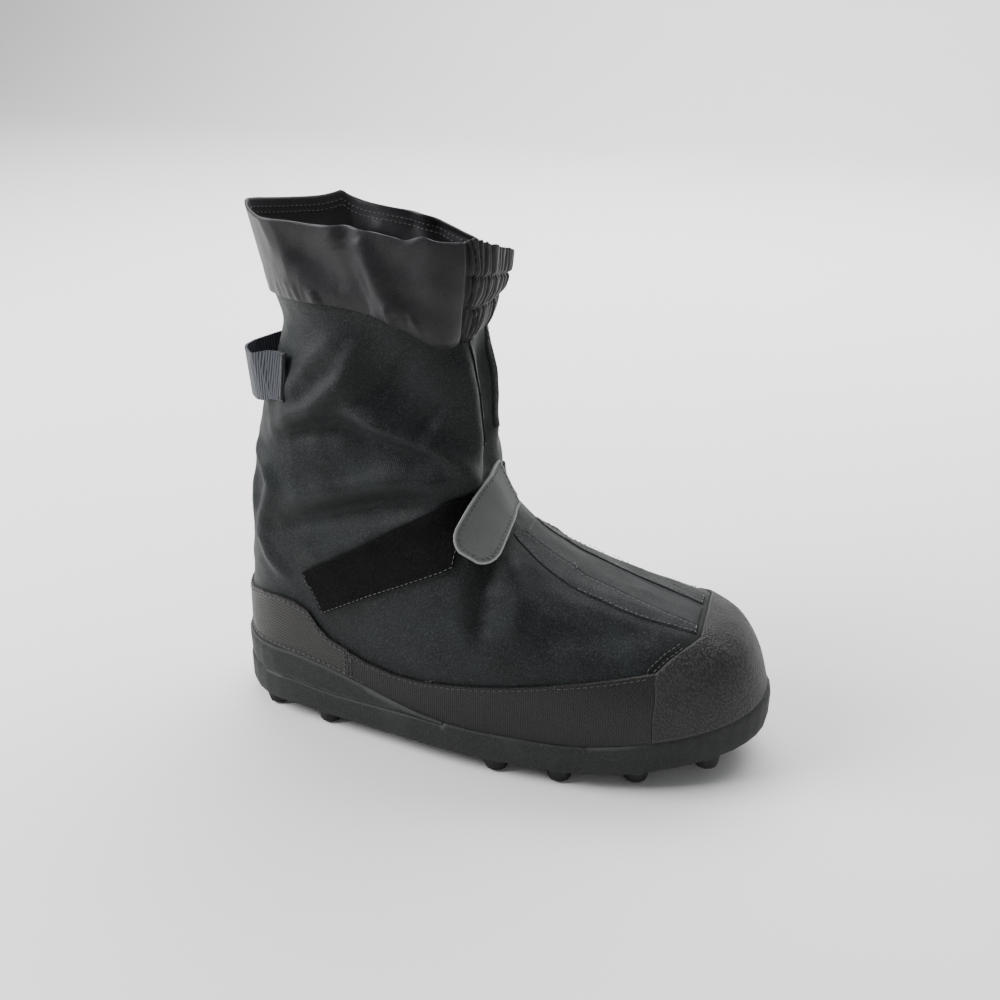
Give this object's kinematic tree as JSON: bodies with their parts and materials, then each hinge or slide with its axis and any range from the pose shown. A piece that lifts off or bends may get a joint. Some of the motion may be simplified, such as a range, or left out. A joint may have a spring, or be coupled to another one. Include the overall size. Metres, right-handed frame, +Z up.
{
  "type": "winter overshoe",
  "caption": "Nylon winter overshoe for the right foot: studded rubber sole, gathered cuff, instep strap with a grey tab, and a webbing pull loop",
  "frame": {"origin": "the middle of the base of the bounding box, on the floor that the lugs stand on", "axes": "+X to the toe, +Y to the inner side of the foot, +Z up"},
  "size_m": [0.31, 0.121, 0.2914],
  "materials": {
    "outsole": "matte black moulded rubber",
    "heel_wedge": "matte black moulded rubber",
    "insole": "dark felt",
    "upper": "black woven nylon",
    "cuff": "smooth charcoal nylon",
    "heel_counter": "coated ballistic nylon",
    "rand_outer": "coated ballistic nylon",
    "rand_inner": "coated ballistic nylon",
    "toe_cap": "grained rubber-coated cloth",
    "placket_outer": "black woven nylon",
    "placket_top": "black woven nylon",
    "placket_inner": "black woven nylon",
    "facing_outer": "black woven nylon",
    "facing_inner": "black woven nylon",
    "loop_patch": "black pile tape",
    "strap": "black woven tape",
    "strap_tab": "matte grey rubber",
    "pull_loop": "blue-grey ribbed webbing"
  },
  "bodies": {
    "root": {"outsole": "outsole", "heel_wedge": "heel_wedge", "insole": "insole", "upper": "upper", "cuff": "cuff", "heel_counter": "heel_counter", "rand_outer": "rand_outer", "rand_inner": "rand_inner", "toe_cap": "toe_cap", "placket_outer": "placket_outer", "placket_top": "placket_top", "placket_inner": "placket_inner", "facing_outer": "facing_outer", "facing_inner": "facing_inner", "loop_patch": "loop_patch", "strap": "strap", "strap_tab": "strap_tab", "pull_loop": "pull_loop"}
  },
  "joints": []
}
